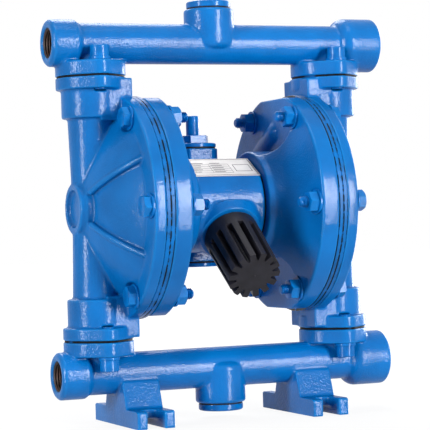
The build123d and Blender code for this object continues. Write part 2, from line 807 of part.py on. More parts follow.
def centre_body():
    body = x_cylinder(body_radius, -body_half, body_half)
    body = fillet(body.edges().filter_by(GeomType.CIRCLE), 2.0)
    facet = Pos(0, 0, label_height + clear / 2) * Box(3 * clear, 3 * clear, clear)
    body -= leaned(label_tilt, facet)
    flare = Cone(muffler_boss_radius + muffler_boss_flare, muffler_boss_radius, muffler_boss_flare_length)
    flare = Pos(0, 0, muffler_boss_reach - 1 - muffler_boss_flare_length / 2) * flare
    boss = z_cylinder(muffler_boss_radius, 0, muffler_boss_reach) + flare
    body += leaned(90 + muffler_tilt, boss)
    corner = barrel_half_width - barrel_corner
    outline = Polyline(
        (corner, -barrel_half_width),
        (barrel_half_width, -corner),
        (barrel_half_width, corner),
        (corner, barrel_half_width),
        (-corner, barrel_half_width),
        (-barrel_half_width, corner),
        (-barrel_half_width, -corner),
        (-corner, -barrel_half_width),
        close=True,
    )
    barrel = extrude(Plane.XY.offset(barrel_bottom) * make_face(outline), barrel_top - barrel_bottom)
    body += Pos(0, barrel_offset, 0) * barrel
    bridge = barrel_offset / 2
    body += Pos(0, bridge, 0) * Box(2 * barrel_half_width, barrel_offset, 1.5 * barrel_half_width)
    port_length = air_port_reach - barrel_offset
    body += Pos(0, barrel_offset + port_length / 2, 0) * Rot(90, 0, 0) * Cylinder(air_port_boss_radius, port_length)
    body -= x_cylinder(shaft_tunnel_radius, -body_half - 1, body_half + 1)
    body -= leaned(90 + muffler_tilt, z_cylinder(exhaust_radius, muffler_boss_reach - exhaust_depth,
                                                  muffler_boss_reach + 1))
    body -= Pos(0, barrel_offset, 0) * z_cylinder(valve_bore_radius, barrel_bottom - 1, barrel_top + 1)
    port = Rot(90, 0, 0) * Cylinder(air_port_radius, air_port_depth)
    body -= Pos(0, air_port_reach - air_port_depth / 2, 0) * port
    feed_start = barrel_offset + valve_bore_radius - 1
    feed_end = air_port_reach - air_port_depth + 1
    feed = Rot(90, 0, 0) * Cylinder(4, feed_end - feed_start)
    body -= Pos(0, (feed_start + feed_end) / 2, 0) * feed
    for side in (1, -1):
        for y, z in hub_screw_places:
            hole_end = side * (hub_screw_seat - hub_screw_length - 1.5)
            body -= x_cylinder(hub_screw_radius + running_gap, side * (body_half + 1), hole_end, y, z)
    return body


def body_gasket():
    """Gasket between the centre body and the right air chamber."""
    gasket = x_cylinder(body_radius - 1.2, body_half, hub_face)
    gasket -= x_cylinder(shaft_tunnel_radius, body_half - 1, hub_face + 1)
    facet = Pos(0, 0, label_height - 1 + clear / 2) * Box(3 * clear, 3 * clear, clear)
    gasket -= leaned(label_tilt, facet)
    for y, z in hub_screw_places:
        gasket -= x_cylinder(hub_screw_radius + hub_screw_gap, body_half - 1, hub_face + 1, y, z)
    return gasket


def hub_screws(side):
    """The four screws that hold an air chamber to the centre body."""
    seat = hub_screw_seat
    screws = []
    for y, z in hub_screw_places:
        screw = x_cylinder(hub_screw_head_radius, seat, seat + hub_screw_head_height)
        screw += x_cylinder(hub_screw_radius, seat - hub_screw_length, seat)
        top = seat + hub_screw_head_height
        screw -= x_hexagon(hub_socket_flats, top - hub_socket_depth, top + 1)
        screw = Pos(0, y, z) * screw
        screws.append(screw if side > 0 else to_left(screw))
    return screws


def label_plate():
    plate_shape = Pos(0, 0, label_height + label_thickness / 2) * Box(label_length, label_width, label_thickness)
    return leaned(label_tilt, plate_shape)


# Air valve, on the barrel axis at x = 0, y = 0
def valve_sleeve():
    bottom = barrel_bottom + valve_spigot
    top = barrel_top - valve_spigot
    sleeve = z_cylinder(valve_bore_radius - running_gap, bottom, top)
    sleeve -= z_cylinder(valve_bore_radius - sleeve_wall, bottom - 1, top + 1)
    for height in (-sleeve_port_spacing, 0.0, sleeve_port_spacing):
        for angle in (0, 90):
            port = Rot(0, 0, angle) * x_cylinder(sleeve_port_radius, -clear, clear, 0, height)
            sleeve -= port
    return sleeve


def spool_radius():
    return valve_bore_radius - sleeve_wall - running_gap


def spool_bottom():
    return barrel_bottom + valve_spigot + 0.1


def spool_length():
    return barrel_top - barrel_bottom - 2 * valve_spigot - spool_travel - 3


def valve_spool():
    bottom = spool_bottom()
    top = bottom + spool_length()
    spool = z_cylinder(spool_radius(), bottom, top)
    waist = spool_waist_length
    for centre in spool_waist_places:
        ring = z_cylinder(spool_radius() + 1, centre - waist / 2, centre + waist / 2)
        spool -= ring - z_cylinder(spool_radius() - spool_waist_depth, centre - waist, centre + waist)
    return spool - z_cylinder(stem_spigot_radius + running_gap, top - stem_spigot_length - 1, top + 1)


def shift_stem():
    """The rod that stands out of the top cap and moves with the spool."""
    start = spool_bottom() + spool_length()
    stem = z_cylinder(stem_radius, start, stem_top)
    stem = chamfer(stem.edges().group_by(Axis.Z)[-1], cap_edge)
    return stem + z_cylinder(stem_spigot_radius, start - stem_spigot_length, start)


def valve_top_cap():
    """Disc with a spigot into the bore and a hexagon round the stem."""
    top = barrel_top + valve_cap_thickness
    disc = z_cylinder(valve_cap_radius, barrel_top, top)
    disc = chamfer(disc.edges().group_by(Axis.Z)[-1], cap_edge)
    ring_top = barrel_top + seal_groove
    disc -= z_cylinder(valve_cap_radius + 1, barrel_top - 1, ring_top) - z_cylinder(
        valve_cap_radius - cap_groove_depth, barrel_top - 2, ring_top + 1)
    cap = disc + z_cylinder(valve_bore_radius - running_gap, barrel_top - valve_spigot, barrel_top)
    cap += z_hexagon(valve_hex_flats, top, top + valve_hex_height)
    return cap - z_cylinder(stem_radius + running_gap, barrel_top - clear, top + clear)


def valve_bottom_cap():
    bottom = barrel_bottom - valve_cap_thickness
    disc = z_cylinder(valve_cap_radius, bottom, barrel_bottom)
    disc = chamfer(disc.edges().group_by(Axis.Z)[0], cap_edge)
    ring_bottom = barrel_bottom - seal_groove
    disc -= z_cylinder(valve_cap_radius + 1, ring_bottom, barrel_bottom + 1) - z_cylinder(
        valve_cap_radius - cap_groove_depth, ring_bottom - 1, barrel_bottom + 2)
    cap = disc + z_cylinder(valve_bore_radius - running_gap, barrel_bottom, barrel_bottom + valve_spigot)
    return cap - z_hexagon(cap_socket_flats, bottom - 1, bottom + cap_socket_depth)


def valve_cap_seal(height):
    """Sealing ring in a cap's groove, its underside at this height."""
    inside = valve_cap_radius - cap_groove_depth + running_gap
    ring = z_cylinder(valve_cap_radius - cap_edge, height, height + seal_groove)
    return ring - z_cylinder(inside, height - 1, height + seal_groove + 1)


# Muffler, along Z from the body axis, leaned into place when exported
def muffler_slot(start):
    """One slot between two ribs, wider at the outside, with a round end at the base."""
    floor = muffler_radius - muffler_slot_depth
    outside = muffler_radius + 1
    widen = (muffler_slot_mouth - muffler_slot_floor) / 2
    outline = Polyline(
        (floor, -muffler_slot_floor / 2),
        (floor, muffler_slot_floor / 2),
        (outside, muffler_slot_floor / 2 + widen),
        (outside, -muffler_slot_floor / 2 - widen),
        close=True,
    )
    slot = extrude(Plane.XY.offset(start) * make_face(outline), clear)
    end_round = x_cylinder(muffler_slot_mouth / 2, floor + 1, outside, 0, start)
    return slot + end_round


def muffler_housing():
    start = muffler_boss_reach
    end = start + muffler_length
    housing = Pos(0, 0, (start + end) / 2) * Cone(muffler_radius, muffler_end_radius, muffler_length)
    housing = chamfer(housing.edges().group_by(Axis.Z)[-1], muffler_edge)
    housing = fillet(housing.edges().group_by(Axis.Z)[0], muffler_edge)
    housing += z_cylinder(exhaust_radius - running_gap, start - exhaust_depth + 1, start)
    slot = muffler_slot(start + muffler_base)
    floor = muffler_radius - muffler_slot_depth
    vent_length = muffler_length - muffler_base - muffler_end_wall - 6
    vent = Pos((muffler_bore + floor) / 2, 0, start + muffler_base + 3 + vent_length / 2) * Box(
        floor - muffler_bore + 2, muffler_vent_width, vent_length)
    for step in range(muffler_slots):
        housing -= Rot(0, 0, 360.0 / muffler_slots * step) * (slot + vent)
    housing -= z_cylinder(muffler_bore, start + 2, end - muffler_end_wall)
    return housing - z_cylinder(exhaust_radius - 3, start - exhaust_depth, start + 3)


def muffler_element():
    """Porous tube inside the muffler."""
    start = muffler_boss_reach + 2
    end = muffler_boss_reach + muffler_length - muffler_end_wall
    tube = z_cylinder(muffler_bore - 0.4, start, end)
    return tube - z_cylinder(muffler_bore - 4, start - 1, end - 4)


# Fasteners
def chamber_bolt():
    """Hexagon bolt on the X axis, through the right-hand rims."""
    seat = fluid_rim_outer + bolt_washer_thickness
    bolt = x_hexagon(bolt_head_flats, seat, seat + bolt_head_height)
    bolt &= turned_polygon_x(
        (seat, 0),
        (seat, bolt_head_flats),
        (seat + bolt_head_height - 1.0, bolt_head_flats / 2 + 1.0),
        (seat + bolt_head_height, bolt_head_flats / 2 - 0.3),
        (seat + bolt_head_height, 0),
    )
    return bolt + x_cylinder(chamber_bolt_radius, seat - chamber_bolt_length, seat)


def chamber_nut():
    end = air_rim_inner - bolt_washer_thickness
    nut = x_hexagon(bolt_head_flats, end - nut_height, end)
    nut &= turned_polygon_x(
        (end, 0),
        (end, bolt_head_flats),
        (end - nut_height + 1.0, bolt_head_flats / 2 + 1.0),
        (end - nut_height, bolt_head_flats / 2 - 0.3),
        (end - nut_height, 0),
    )
    return nut - x_cylinder(chamber_bolt_radius + running_gap, end - nut_height - 1, end + 1)


def bolt_washer(x_start):
    ring = x_cylinder(bolt_washer_radius, x_start, x_start + bolt_washer_thickness)
    hole = x_cylinder(chamber_bolt_radius + washer_gap, x_start - 1, x_start + bolt_washer_thickness + 1)
    return ring - hole


def on_every_bolt(shape):
    """A piece on the X axis, copied to each place on the bolt circle."""
    return [Pos(0, *on_bolt_circle(angle)) * shape for angle in bolt_angles]


def flange_screw():
    """Socket head screw of the top manifold, on the column's screw place."""
    seat = manifold_flange_face + manifold_flange_thickness + flange_washer_thickness
    screw = z_cylinder(flange_screw_head_radius, seat, seat + flange_screw_head_height)
    screw = chamfer(screw.edges().group_by(Axis.Z)[-1], 0.5)
    screw += z_cylinder(flange_screw_radius, seat - flange_screw_length, seat)
    top = seat + flange_screw_head_height
    return screw - z_hexagon(screw_socket_flats, top - screw_socket_depth, top + 1)


def flange_washer():
    """Spring washer under a flange screw, with its split."""
    start = manifold_flange_face + manifold_flange_thickness
    ring = z_cylinder(flange_washer_radius, start, start + flange_washer_thickness)
    ring -= z_cylinder(flange_screw_radius + washer_gap, start - 1, start + flange_washer_thickness + 1)
    split = Box(flange_washer_radius, washer_split, 3 * flange_washer_thickness)
    return ring - Pos(flange_washer_radius, 0, start) * split


def at_all_flange_screws(shape):
    """A piece on a screw's axis, copied to both screws of both columns."""
    copies = []
    for place in screw_places():
        copies += at_both_columns(place * shape)
    return copies


def flange_gasket():
    gasket = extrude(Plane.XY.offset(chamber_flange_face) * flange_outline(0.9), flange_gasket_thickness)
    gasket -= z_cylinder(column_bore_radius, chamber_flange_face - 1, manifold_flange_face + 1)
    for place in screw_places():
        hole = z_cylinder(flange_screw_radius + washer_gap, chamber_flange_face - 1, manifold_flange_face + 1)
        gasket -= place * hole
    return gasket


# The list of nodes, each with its solids in the frame of the body's middle
nodes = {}
nodes["top_manifold"] = [top_manifold()]
nodes["bottom_manifold"] = [bottom_manifold()]
nodes["top_centre_plug"] = [centre_plug()]
nodes["bottom_centre_plug"] = [upside_down(centre_plug())]
nodes["centre_plug_washers"] = [centre_plug_washer(), upside_down(centre_plug_washer())]
nodes["top_end_plug"] = [end_plug()]
nodes["bottom_end_plug"] = [upside_down(end_plug())]

right_fluid_chamber = fluid_chamber()
right_air_chamber = air_chamber()
nodes["right_fluid_chamber"] = [right_fluid_chamber]
nodes["left_fluid_chamber"] = [to_left(right_fluid_chamber)]
nodes["right_air_chamber"] = [right_air_chamber]
nodes["left_air_chamber"] = [to_left(right_air_chamber)]
nodes["centre_body"] = [centre_body()]
nodes["body_gaskets"] = [body_gasket(), to_left(body_gasket())]
nodes["label_plate"] = [label_plate()]
nodes["hub_screws"] = hub_screws(1) + hub_screws(-1)

for side_name, place_side in (("right", lambda shape: shape), ("left", to_left)):
    nodes[side_name + "_diaphragm"] = [place_side(diaphragm_layer(layer_joint))]
    nodes[side_name + "_backup_diaphragm"] = [place_side(diaphragm_layer(air_rim_outer))]
    nodes[side_name + "_outer_plate"] = [place_side(plate(fluid_face, fluid_face + plate_thickness, 0))]
    nodes[side_name + "_inner_plate"] = [place_side(plate(shaft_shoulder, air_rim_outer, -1))]
    nodes[side_name + "_chamber_bolts"] = [place_side(bolt) for bolt in on_every_bolt(chamber_bolt())]
    nodes[side_name + "_chamber_nuts"] = [place_side(nut) for nut in on_every_bolt(chamber_nut())]
    washers = on_every_bolt(bolt_washer(fluid_rim_outer))
    washers += on_every_bolt(bolt_washer(air_rim_inner - bolt_washer_thickness))
    nodes[side_name + "_bolt_washers"] = [place_side(washer) for washer in washers]

nodes["main_shaft"] = [main_shaft()]
nodes["shaft_nuts"] = [shaft_nut(), to_left(shaft_nut())]
nodes["shaft_bushes"] = [shaft_bush(), to_left(shaft_bush())]
nodes["shaft_seals"] = [shaft_seal(), to_left(shaft_seal())]

outlet_seat_level = chamber_flange_face - cage_height - seat_height
inlet_seat_level = -chamber_flange_face
for side_name, x in (("right", column_offset), ("left", -column_offset)):
    for port_name, level in (("outlet", outlet_seat_level), ("inlet", inlet_seat_level)):
        seat_place = Pos(x, 0, level)
        above_seat = Pos(x, 0, level + seat_height)
        nodes[f"{side_name}_{port_name}_seat"] = [seat_place * valve_seat()]
        nodes[f"{side_name}_{port_name}_cage"] = [above_seat * valve_cage()]
        nodes[f"{side_name}_{port_name}_ball"] = [above_seat * Pos(0, 0, ball_rest) * Sphere(ball_radius)]

gaskets = at_both_columns(flange_gasket())
nodes["top_flange_gaskets"] = gaskets
nodes["bottom_flange_gaskets"] = [upside_down(gasket) for gasket in gaskets]
screws = at_all_flange_screws(flange_screw())
nodes["top_manifold_screws"] = screws
nodes["bottom_manifold_screws"] = [upside_down(screw) for screw in screws]
spring_washers = at_all_flange_screws(flange_washer())
nodes["top_screw_washers"] = spring_washers
nodes["bottom_screw_washers"] = [upside_down(washer) for washer in spring_washers]

on_barrel = Pos(0, barrel_offset, 0)
nodes["valve_sleeve"] = [on_barrel * valve_sleeve()]
nodes["valve_spool"] = [on_barrel * valve_spool()]
nodes["shift_stem"] = [on_barrel * shift_stem()]
nodes["valve_top_cap"] = [on_barrel * valve_top_cap()]
nodes["valve_bottom_cap"] = [on_barrel * valve_bottom_cap()]
nodes["valve_cap_seals"] = [
    on_barrel * valve_cap_seal(barrel_top),
    on_barrel * valve_cap_seal(barrel_bottom - seal_groove),
]
nodes["muffler_housing"] = [leaned(90 + muffler_tilt, muffler_housing())]
nodes["muffler_element"] = [leaned(90 + muffler_tilt, muffler_element())]

os.makedirs("parts", exist_ok=True)
to_floor = Pos(0, 0, mid_height)
for name, shapes in nodes.items():
    solids = [solid for shape in shapes for solid in (to_floor * shape).solids()]
    model = solids[0] if len(solids) == 1 else Compound(children=solids)
    export_step(model, f"parts/{name}.step")
print(len(nodes), "nodes written")
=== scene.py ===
import bmesh
import bpy
import json
import math
import random
from mathutils import Matrix, Vector

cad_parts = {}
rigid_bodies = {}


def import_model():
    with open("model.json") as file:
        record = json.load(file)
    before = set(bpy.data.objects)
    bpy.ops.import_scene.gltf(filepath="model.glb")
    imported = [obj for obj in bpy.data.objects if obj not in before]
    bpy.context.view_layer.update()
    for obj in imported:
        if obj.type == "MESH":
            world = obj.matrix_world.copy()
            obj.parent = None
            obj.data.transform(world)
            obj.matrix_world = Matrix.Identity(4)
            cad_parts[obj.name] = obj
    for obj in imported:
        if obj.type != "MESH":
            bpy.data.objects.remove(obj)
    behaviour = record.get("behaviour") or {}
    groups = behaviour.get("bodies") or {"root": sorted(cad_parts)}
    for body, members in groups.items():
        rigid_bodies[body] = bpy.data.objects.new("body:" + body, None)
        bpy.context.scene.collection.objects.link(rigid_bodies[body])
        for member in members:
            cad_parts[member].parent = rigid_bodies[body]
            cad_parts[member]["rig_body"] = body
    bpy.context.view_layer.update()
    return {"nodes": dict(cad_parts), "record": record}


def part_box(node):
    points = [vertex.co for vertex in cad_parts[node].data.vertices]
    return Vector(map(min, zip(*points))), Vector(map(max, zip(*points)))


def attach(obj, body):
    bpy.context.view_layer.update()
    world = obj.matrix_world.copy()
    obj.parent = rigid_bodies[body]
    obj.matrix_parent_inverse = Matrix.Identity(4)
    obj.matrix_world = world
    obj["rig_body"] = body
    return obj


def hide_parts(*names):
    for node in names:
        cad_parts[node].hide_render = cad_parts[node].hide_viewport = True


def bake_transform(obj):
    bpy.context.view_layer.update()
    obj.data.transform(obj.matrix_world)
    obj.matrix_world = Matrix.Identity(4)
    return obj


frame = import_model()
nodes = frame["nodes"]
mm = 0.001
turn = 2 * math.pi
shaftLow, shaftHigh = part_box("main_shaft")
bodyHeight = (shaftLow[2] + shaftHigh[2]) / 2  # the pump's axis above the floor
print("frame loaded:", len(nodes), "nodes")


# Colours and shader helpers

def linear(hexCode):
    channels = [int(hexCode[place:place + 2], 16) / 255 for place in (1, 3, 5)]
    return [c / 12.92 if c <= 0.04045 else ((c + 0.055) / 1.055) ** 2.4 for c in channels] + [1]


def perMetre(size):  # a pattern's scale for a feature of this many millimetres
    return 1000 / size


def addNode(tree, kind, inputs=None, output=0, **settings):
    node = tree.nodes.new("ShaderNode" + kind)
    for name, value in settings.items():
        setattr(node, name, value)
    for socket, value in (inputs or {}).items():
        if isinstance(value, bpy.types.NodeSocket):
            tree.links.new(value, node.inputs[socket])
        else:
            node.inputs[socket].default_value = value
    return node.outputs[output] if node.outputs else node


def blankMaterial(name):
    material = bpy.data.materials.new(name)
    material.use_nodes = True
    tree = material.node_tree
    tree.nodes.clear()
    return material, tree, addNode(tree, "TexCoord", output="Object")


def tinted(tree, body, pattern, tint):  # lays a tint over the body colour where the pattern says
    colour, start, full, most = tint
    share = addNode(tree, "MapRange", {
        "Value": pattern, "From Min": start, "From Max": full, "To Max": most})
    return addNode(tree, "Mix", {0: share, 6: body, 7: linear(colour)}, 2, data_type="RGBA")


def relief(tree, place, grain, under=None):  # bumps of a size and a depth in mm
    size, depth, detail, roughness = grain
    height = addNode(tree, "TexNoise", {
        "Vector": place, "Scale": perMetre(size), "Detail": detail, "Roughness": roughness})
    inputs = {"Height": height, "Distance": depth * mm}
    if under is not None:
        inputs["Normal"] = under
    return addNode(tree, "Bump", inputs)


def finishSurface(tree, look, body, normal):
    inputs = {"Base Color": body, "Normal": normal, "Roughness": look["roughness"],
              "Metallic": look.get("metallic", 0.0), "Specular IOR Level": look.get("sheen", 0.5)}
    if "ior" in look:
        inputs["IOR"] = look["ior"]
    if "coat" in look:
        inputs.update({"Coat Weight": look["coat"], "Coat Roughness": look["coatRoughness"],
                       "Coat IOR": look["ior"], "Coat Normal": normal})
    addNode(tree, "OutputMaterial", {"Surface": addNode(tree, "BsdfPrincipled", inputs)})


# In each finish a tint is its colour, the pattern's values where it starts and is full, and its most.
# A grain is its size and depth in mm, and its noise's detail and roughness.

# Blue alkyd enamel sprayed over sand-cast iron: the sand's grain shows through the gloss coat, so a
# lamp's reflection breaks into specks. The hollows are darkened with painted shade, and the convex
# edges lightened with a painted highlight. The turned outside of the chamber rims is smoother, and
# lies between two radii within a distance of the middle.
castEnamel = {
    # the lighter pointiness tint is a painted highlight on convex edges
    "blue": "#006AB4", "deepBlue": ("#005CA0", 0.35, 0.7, 1.0), "edgeHighlightBlue": ("#108AD2", 0.51, 0.58, 0.6),
    # the darker pointiness tint is painted shade in the hollows
    "hollowShadeBlue": ("#00386A", 0.495, 0.44, 0.8), "shadeSize": 34.0, "shadeDetail": 3.0,
    "wave": (22.0, 0.2, 1.0, 0.5), "peel": (5.0, 0.12, 2.0, 0.5), "sandGrain": 1.4, "sandDepth": 0.25,
    "patch": (0.35, 0.65, 0.5), "turnedFrom": 76.5, "turnedFull": 77.5, "turnedTo": 79.0,
    "turnedGone": 79.5, "turnedReach": 75.6, "reachGone": 76.1, "turnedShare": 0.3,
    "roughness": 0.45, "ior": 1.5, "sheen": 0.06, "coat": 0.3, "coatRoughness": 0.15,
}


def asCast(tree, place, look):  # 1 on sand-cast faces, low on the turned outside of the chamber rims
    fromAxis = addNode(tree, "Mapping", {"Vector": place, "Location": (0, 0, -bodyHeight)})
    along = addNode(tree, "SeparateXYZ", {0: fromAxis})
    along = addNode(tree, "Math", {0: along}, operation="ABSOLUTE")
    flat = addNode(tree, "VectorMath", {0: fromAxis, 1: (0, 1, 1)}, operation="MULTIPLY")
    radius = addNode(tree, "VectorMath", {0: flat}, "Value", operation="LENGTH")
    turnedPart = 1.0
    for measure, outer, inner in ((radius, "turnedFrom", "turnedFull"), (radius, "turnedGone", "turnedTo"),
                                  (along, "reachGone", "turnedReach")):
        inside = addNode(tree, "MapRange", {
            "Value": measure, "From Min": look[outer] * mm, "From Max": look[inner] * mm})
        turnedPart = addNode(tree, "Math", {0: turnedPart, 1: inside}, operation="MULTIPLY")
    return addNode(tree, "MapRange", {"Value": turnedPart, "To Min": 1.0, "To Max": look["turnedShare"]})


def enamelOverCastIron(name, look):
    material, tree, place = blankMaterial(name)
    shade = addNode(tree, "TexNoise", {
        "Vector": place, "Scale": perMetre(look["shadeSize"]), "Detail": look["shadeDetail"]})
    pointed = addNode(tree, "NewGeometry", output="Pointiness")
    body = tinted(tree, linear(look["blue"]), shade, look["deepBlue"])
    # painted highlight: convex edges lighter blue, by pointiness
    body = tinted(tree, body, pointed, look["edgeHighlightBlue"])
    # painted shade: hollows darker blue, by pointiness
    body = tinted(tree, body, pointed, look["hollowShadeBlue"])
    peel = relief(tree, place, look["peel"], relief(tree, place, look["wave"]))
    sand = addNode(tree, "TexNoise", {"Vector": place, "Scale": perMetre(look["sandGrain"]), "Detail": 1.0})
    patchy = addNode(tree, "TexNoise", {"Vector": place, "Scale": perMetre(look["shadeSize"])})
    start, full, least = look["patch"]  # the sand stands out more in some patches than in others
    patch = addNode(tree, "MapRange", {
        "Value": patchy, "From Min": start, "From Max": full, "To Min": least})
    for share in (patch, asCast(tree, place, look)):
        sand = addNode(tree, "Math", {0: sand, 1: share}, operation="MULTIPLY")
    grain = addNode(tree, "Bump", {"Height": sand, "Distance": look["sandDepth"] * mm, "Normal": peel})
    finishSurface(tree, look, body, grain)
    return material


# The same enamel on machined steel fasteners: thinner and smoother, with a painted highlight at the corners
steelEnamel = {
    # the pointiness tint is a painted highlight, lighter blue at the corners
    "blue": "#006EBA", "deepBlue": ("#00589E", 0.35, 0.7, 1.0), "cornerHighlight": ("#1890D4", 0.56, 0.68, 0.5),
    "shadeSize": 7.0, "shadeDetail": 3.0, "peel": (2.4, 0.06, 2.0, 0.5), "roughness": 0.4, "ior": 1.5,
    "sheen": 0.06, "coat": 0.28, "coatRoughness": 0.11,
}


def enamelOverSteel(name, look):
    material, tree, place = blankMaterial(name)
    shade = addNode(tree, "TexNoise", {
        "Vector": place, "Scale": perMetre(look["shadeSize"]), "Detail": look["shadeDetail"]})
    pointed = addNode(tree, "NewGeometry", output="Pointiness")
    body = tinted(tree, linear(look["blue"]), shade, look["deepBlue"])
    # painted highlight: corners lighter blue, by pointiness
    body = tinted(tree, body, pointed, look["cornerHighlight"])
    finishSurface(tree, look, body, relief(tree, place, look["peel"]))
    return material


# Nitrile rubber whose edge took the spray: blue film, torn dark where the layers and the rims meet.
# Each seam is its distance from the middle in mm and the share of it that has lost its paint.
rubberEnamel = {
    "blue": "#0068B2", "deepBlue": ("#00528E", 0.35, 0.7, 1.0), "bare": ("#04070C", 0.0, 1.0, 1.0),
    "tear": 3.2, "tearDetail": 3.0, "tearRoughness": 0.6, "run": 11.0, "torn": (0.66, 0.74, 0.8),
    "seams": ((60.5, 0.95), (63.75, 0.7), (67.0, 0.35)), "seamCore": 0.375, "seamHalf": 0.75,
    "whole": 1.12, "lost": 0.3, "fade": 0.04, "filmDepth": -0.15, "grain": (1.1, 0.2, 3.0, 0.6),
    "roughness": 0.3, "ior": 1.4, "sheen": 0.25,
}


def enamelOverRubber(name, look):
    material, tree, place = blankMaterial(name)
    along = addNode(tree, "SeparateXYZ", {0: place})
    fromMiddle = addNode(tree, "Math", {0: along}, operation="ABSOLUTE")
    tear = addNode(tree, "TexNoise", {
        "Vector": place, "Scale": perMetre(look["tear"]), "Detail": look["tearDetail"],
        "Roughness": look["tearRoughness"]})
    run = addNode(tree, "TexNoise", {"Vector": place, "Scale": perMetre(look["run"])})
    ragged = addNode(tree, "Math", {0: tear, 1: run}, operation="ADD")
    start, full, most = look["torn"]
    bare = addNode(tree, "MapRange", {"Value": tear, "From Min": start, "From Max": full, "To Max": most})
    for seam, share in look["seams"]:
        away = addNode(tree, "Math", {0: fromMiddle, 1: seam * mm}, operation="SUBTRACT")
        away = addNode(tree, "Math", {0: away}, operation="ABSOLUTE")
        line = addNode(tree, "MapRange", {
            "Value": away, "From Min": look["seamHalf"] * mm, "From Max": look["seamCore"] * mm})
        start = look["whole"] - look["lost"] * share
        gone = addNode(tree, "MapRange", {
            "Value": ragged, "From Min": start, "From Max": start + look["fade"]})
        line = addNode(tree, "Math", {0: line, 1: gone}, operation="MULTIPLY")
        bare = addNode(tree, "Math", {0: bare, 1: line}, operation="MAXIMUM")
    film = tinted(tree, linear(look["blue"]), run, look["deepBlue"])
    body = tinted(tree, film, bare, look["bare"])
    grain = relief(tree, place, look["grain"])
    lift = addNode(tree, "Bump", {"Height": bare, "Distance": look["filmDepth"] * mm, "Normal": grain})
    finishSurface(tree, look, body, lift)
    return material


# Plain finishes: colour, the tint of its clouds, their size in mm and detail, and the grain
plainFinishes = {
    # flange gasket: black fibre sheet in the joint, bridged by blue paint over some of its length
    "gasketSheet": {"base": "#05060A", "tint": ("#00508C", 0.64, 0.7, 1.0), "cloud": 16.0, "detail": 2.0,
                    "grain": (0.8, 0.05, 2.0, 0.5), "roughness": 0.6, "sheen": 0.1},
    # glass-filled nylon, moulded: charcoal with a low sheen and a faint spark-eroded grain
    "mouldedNylon": {"base": "#17161C", "tint": ("#201F26", 0.35, 0.68, 1.0), "cloud": 9.0, "detail": 3.0,
                     "grain": (0.7, 0.03, 2.0, 0.5), "roughness": 0.42, "sheen": 0.2},
    # turned stainless steel: bright, the tool's rings too fine to show
    "turnedStainless": {"base": "#B9B8B5", "tint": ("#A3A2A0", 0.35, 0.68, 1.0), "cloud": 12.0,
                        "detail": 3.0, "grain": (0.4, 0.01, 2.0, 0.5), "roughness": 0.28, "metallic": 1.0},
    # nitrile rubber: black and nearly matt
    "nitrileRubber": {"base": "#111113", "tint": ("#1A1A1D", 0.35, 0.68, 1.0), "cloud": 6.0, "detail": 3.0,
                      "grain": (0.5, 0.04, 2.0, 0.5), "roughness": 0.62, "sheen": 0.2},
    # turned PTFE: waxy white
    "turnedFluoropolymer": {"base": "#E6E5DE", "tint": ("#DAD9D0", 0.35, 0.68, 1.0), "cloud": 8.0,
                            "detail": 3.0, "grain": (0.6, 0.02, 2.0, 0.5), "roughness": 0.38},
    # sintered bronze: warm, dull and finely pitted
    "sinteredBronze": {"base": "#A5753F", "tint": ("#8A5E31", 0.35, 0.68, 1.0), "cloud": 3.0, "detail": 3.0,
                       "grain": (0.35, 0.04, 2.0, 0.5), "roughness": 0.5, "metallic": 1.0},
    # sintered polyethylene filter: off-white and open-grained
    "porousFilter": {"base": "#C9C7BE", "tint": ("#B4B2A8", 0.35, 0.68, 1.0), "cloud": 2.0, "detail": 3.0,
                     "grain": (0.6, 0.15, 2.0, 0.5), "roughness": 0.85},
    # cast iron left raw in the threaded mouths: dark, with a brown bloom of rust
    "rawThread": {"base": "#2A2624", "tint": ("#4A3128", 0.35, 0.68, 1.0), "cloud": 5.0, "detail": 3.0,
                  "grain": (0.8, 0.06, 2.0, 0.5), "roughness": 0.55, "metallic": 0.4},
    # brushed aluminium plate: pale and satin, its brushing too fine to show
    "brushedAluminium": {"base": "#C9C6C4", "tint": ("#BDBAB8", 0.35, 0.68, 1.0), "cloud": 10.0,
                         "detail": 3.0, "grain": (0.25, 0.01, 2.0, 0.5), "roughness": 0.42,
                         "metallic": 0.55},
    # printing ink on the plate: thin and dark
    "plateInk": {"base": "#2C2C30", "tint": ("#3C3C40", 0.35, 0.68, 1.0), "cloud": 3.0, "detail": 3.0,
                 "grain": (0.3, 0.01, 2.0, 0.5), "roughness": 0.5},
}


def plainMaterial(name, look):
    material, tree, place = blankMaterial(name)
    cloud = addNode(tree, "TexNoise", {
        "Vector": place, "Scale": perMetre(look["cloud"]), "Detail": look["detail"]})
    body = tinted(tree, linear(look["base"]), cloud, look["tint"])
    finishSurface(tree, look, body, relief(tree, place, look["grain"]))
    return material


finishes = {name: plainMaterial(name, look) for name, look in plainFinishes.items()}
finishes["castEnamel"] = enamelOverCastIron("castEnamel", castEnamel)
finishes["steelEnamel"] = enamelOverSteel("steelEnamel", steelEnamel)
finishes["rubberEnamel"] = enamelOverRubber("rubberEnamel", rubberEnamel)
slotFinish = {
    "painted_iron": "castEnamel", "painted_steel": "steelEnamel", "bare_steel": "turnedStainless",
    "black_rubber": "nitrileRubber", "painted_rubber": "rubberEnamel",
    "white_polymer": "turnedFluoropolymer", "black_plastic": "mouldedNylon", "bronze": "sinteredBronze",
    "porous_element": "porousFilter", "gasket_black": "gasketSheet", "label_metal": "brushedAluminium",
}
slotOf = {part["node"]: part["material_slot"] for part in frame["record"]["subparts"]}
for nodeName, cadObject in nodes.items():
    cadObject.data.materials.clear()
    cadObject.data.materials.append(finishes[slotFinish[slotOf[nodeName]]])
print("materials made:", len(finishes))


# Mesh helpers

weldGap = 0.002 * mm  # points nearer than this are one point
nearAxis = 0.5 * mm  # points nearer the axis than this belong to an end face's middle
flatWithin = 0.5  # degrees between triangles that are still one flat face
sharpFrom = 35  # degrees between faces from which an edge is broken


